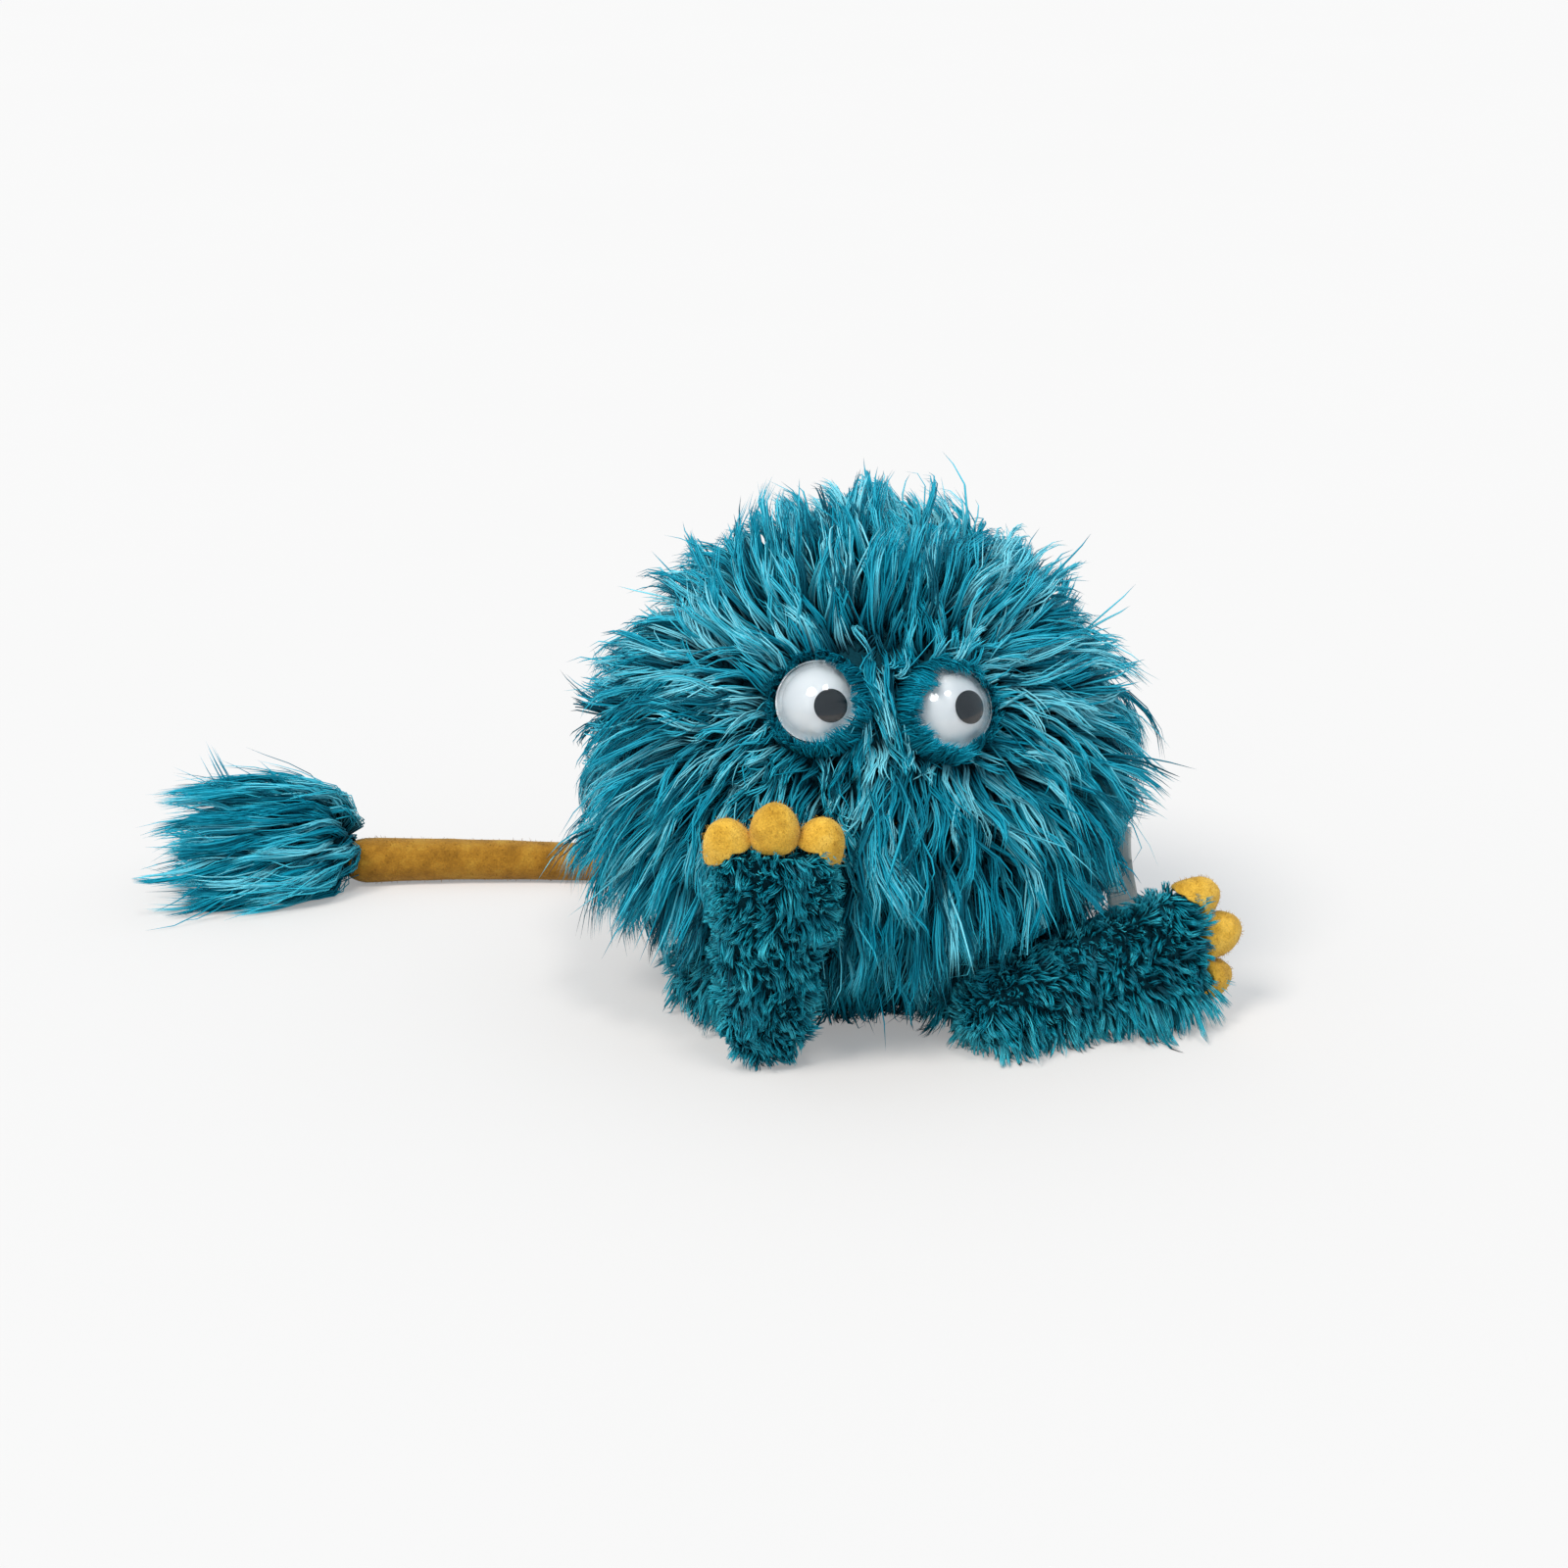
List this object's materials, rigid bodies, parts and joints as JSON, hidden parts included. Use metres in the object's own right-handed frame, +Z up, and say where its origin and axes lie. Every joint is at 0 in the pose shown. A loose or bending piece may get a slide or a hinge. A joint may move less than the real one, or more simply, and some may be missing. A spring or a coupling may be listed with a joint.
{
  "type": "moving mouth puppet",
  "caption": "Shaggy round hand puppet with a hinged mouth, dome eyes, curly feet with felt toes and a tufted felt tail.",
  "frame": {"origin": "on the floor, in the flat round seat's underside below the middle of the ball", "axes": "+Z up, the face looks along -Y, the tail lies towards -X; X is the longest side and the mouth hinge runs along it"},
  "size_m": [0.4481, 0.2635, 0.2099],
  "materials": {
    "long_pile": "matte",
    "short_pile": "matte",
    "felt": "matte",
    "fill": "matte",
    "lining": "matte",
    "board": "matte",
    "eye_white": "gloss",
    "eye_black": "gloss",
    "eye_clear": "gloss",
    "ribbon": "satin"
  },
  "bodies": {
    "body": {"seat_panel": "short_pile", "body_fur_shell": "long_pile", "body_stuffing": "fill", "pellet_bag": "lining", "hand_sleeve": "lining", "sleeve_hem": "short_pile", "neck_gusset": "long_pile", "throat_gusset": "long_pile", "side_label": "ribbon", "mouth_fold": "felt"},
    "head": {"head_fur_shell": "long_pile", "head_stuffing": "fill", "upper_mouth_board": "board", "upper_mouth_felt": "felt", "finger_pocket": "lining"},
    "lower_jaw": {"chin_fur_shell": "long_pile", "chin_stuffing": "fill", "lower_mouth_board": "board", "lower_mouth_felt": "felt", "thumb_pocket": "lining"},
    "left_eye": {"left_eye_cup": "eye_white", "left_eye_dome": "eye_clear", "left_pupil": "eye_black", "left_lock_washer": "eye_white"},
    "left_leg": {"left_thigh": "short_pile"},
    "left_foot": {"left_foot_shell": "short_pile", "left_foot_stuffing": "fill", "left_toe_inner": "felt", "left_toe_middle": "felt", "left_toe_outer": "felt"},
    "right_eye": {"right_eye_cup": "eye_white", "right_eye_dome": "eye_clear", "right_pupil": "eye_black", "right_lock_washer": "eye_white"},
    "right_leg": {"right_thigh": "short_pile"},
    "right_foot": {"right_foot_shell": "short_pile", "right_foot_stuffing": "fill", "right_toe_inner": "felt", "right_toe_middle": "felt", "right_toe_outer": "felt"},
    "tail": {"tail_tube": "felt", "tail_core": "fill"},
    "tuft": {"tail_tuft": "long_pile"}
  },
  "joints": [
    {"name": "mouth_open", "type": "hinge", "parent": "body", "child": "head", "pos_m": [0, 0.012, 0.1], "axis": [-1, 0, 0], "range_deg": [0, 40], "deforming": ["neck_gusset"]},
    {"name": "jaw_drop", "type": "hinge", "parent": "body", "child": "lower_jaw", "pos_m": [0, 0.012, 0.1], "axis": [1, 0, 0], "range_deg": [0, 10], "deforming": ["throat_gusset"]},
    {"name": "left_eye_turn", "type": "hinge", "parent": "head", "child": "left_eye", "pos_m": [-0.02648, -0.0786, 0.14907], "axis": [-0.2719, -0.8069, 0.5243], "continuous": true},
    {"name": "right_eye_turn", "type": "hinge", "parent": "head", "child": "right_eye", "pos_m": [0.02332, -0.08116, 0.14654], "axis": [0.2395, -0.8332, 0.4984], "continuous": true},
    {"name": "left_hip", "type": "hinge", "parent": "body", "child": "left_leg", "pos_m": [-0.0626, -0.0287, 0.0195], "axis": [0, 0, -1], "range_deg": [0, 35]},
    {"name": "right_hip", "type": "hinge", "parent": "body", "child": "right_leg", "pos_m": [0.0504, -0.0326, 0.0206], "axis": [0, 0, -1], "range_deg": [-12, 9]},
    {"name": "left_ankle", "type": "hinge", "parent": "left_leg", "child": "left_foot", "pos_m": [-0.047, -0.08, 0.0196], "axis": [-0.0063, -0.9496, -0.3133], "range_deg": [-15, 70]},
    {"name": "right_ankle", "type": "hinge", "parent": "right_leg", "child": "right_foot", "pos_m": [0.0465, -0.073, 0.02], "axis": [0.2633, -0.9635, 0.0482], "range_deg": [0, 12]},
    {"name": "tail_swing", "type": "hinge", "parent": "body", "child": "tail", "pos_m": [-0.0334, 0.0749, 0.0118], "axis": [0, 0, 1], "range_deg": [-40, 12]},
    {"name": "tuft_bend", "type": "hinge", "parent": "tail", "child": "tuft", "pos_m": [-0.214, 0.126, 0.0104], "axis": [0, 0, 1], "range_deg": [-25, 25]}
  ]
}
